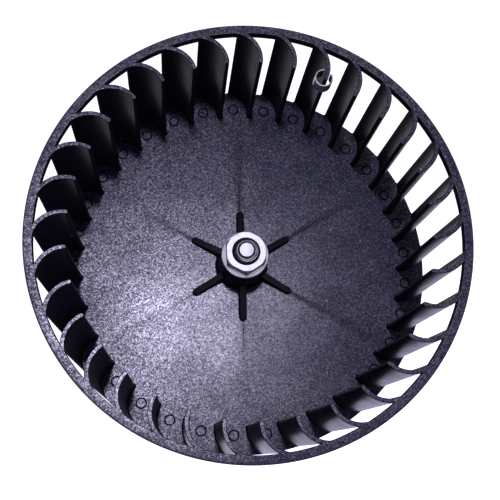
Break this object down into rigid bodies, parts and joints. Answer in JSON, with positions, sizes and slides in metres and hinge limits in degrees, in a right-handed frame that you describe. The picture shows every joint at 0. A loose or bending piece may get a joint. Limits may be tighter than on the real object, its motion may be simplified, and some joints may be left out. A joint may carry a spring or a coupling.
{
  "type": "blower motor wheel",
  "caption": "Forward-curved blower wheel in black moulded plastic, open at the front, clamped by a flange nut on the threaded shaft of a compact brushed motor.",
  "frame": {"origin": "middle of the motor's flat rear face, on the shaft's axis, at the bottom of the assembly", "axes": "+Z along the shaft from the motor to the wheel's open inlet side, -Y towards the terminal socket, +X at the first blade's tip"},
  "size_m": [0.1398, 0.14, 0.1402],
  "materials": {
    "wheel_plastic": "grained black moulding, smooth on the blade sides",
    "spring_steel": "dark rolled spring steel",
    "zinc_plate": "bright zinc plating",
    "shaft_steel": "ground steel",
    "core_steel": "stacked laminations",
    "copper_wire": "enamelled copper wire",
    "commutator_copper": "turned copper",
    "can_steel": "drawn and zinc plated",
    "cap_plastic": "black moulding",
    "terminal_brass": "tinned brass",
    "carbon": "pressed carbon",
    "ferrite": "sintered ferrite",
    "bearing_bronze": "sintered bronze"
  },
  "bodies": {
    "motor": {"motor_can": "can_steel", "mounting_plate": "zinc_plate", "plate_screw_1": "zinc_plate", "plate_screw_2": "zinc_plate", "plate_screw_3": "zinc_plate", "end_cap": "cap_plastic", "terminal_1": "terminal_brass", "terminal_2": "terminal_brass", "brush_card": "cap_plastic", "brush_1": "carbon", "brush_2": "carbon", "magnet_1": "ferrite", "magnet_2": "ferrite", "rear_bearing": "bearing_bronze", "front_bearing": "bearing_bronze"},
    "rotor": {"front_ring": "wheel_plastic", "back_plate": "wheel_plastic", "hub": "wheel_plastic", "rear_boss": "wheel_plastic", "blade_01": "wheel_plastic", "blade_02": "wheel_plastic", "blade_03": "wheel_plastic", "blade_04": "wheel_plastic", "blade_05": "wheel_plastic", "blade_06": "wheel_plastic", "blade_07": "wheel_plastic", "blade_08": "wheel_plastic", "blade_09": "wheel_plastic", "blade_10": "wheel_plastic", "blade_11": "wheel_plastic", "blade_12": "wheel_plastic", "blade_13": "wheel_plastic", "blade_14": "wheel_plastic", "blade_15": "wheel_plastic", "blade_16": "wheel_plastic", "blade_17": "wheel_plastic", "blade_18": "wheel_plastic", "blade_19": "wheel_plastic", "blade_20": "wheel_plastic", "blade_21": "wheel_plastic", "blade_22": "wheel_plastic", "blade_23": "wheel_plastic", "blade_24": "wheel_plastic", "blade_25": "wheel_plastic", "blade_26": "wheel_plastic", "blade_27": "wheel_plastic", "blade_28": "wheel_plastic", "blade_29": "wheel_plastic", "blade_30": "wheel_plastic", "blade_31": "wheel_plastic", "blade_32": "wheel_plastic", "blade_33": "wheel_plastic", "balance_clip": "spring_steel", "flange_nut": "zinc_plate", "motor_shaft": "shaft_steel", "armature_core": "core_steel", "winding_rear": "copper_wire", "winding_front": "copper_wire", "commutator": "commutator_copper"}
  },
  "joints": [
    {"name": "wheel_spin", "type": "hinge", "parent": "motor", "child": "rotor", "pos_m": [0, 0, 0.084], "axis": [0, 0, 1], "continuous": true}
  ]
}
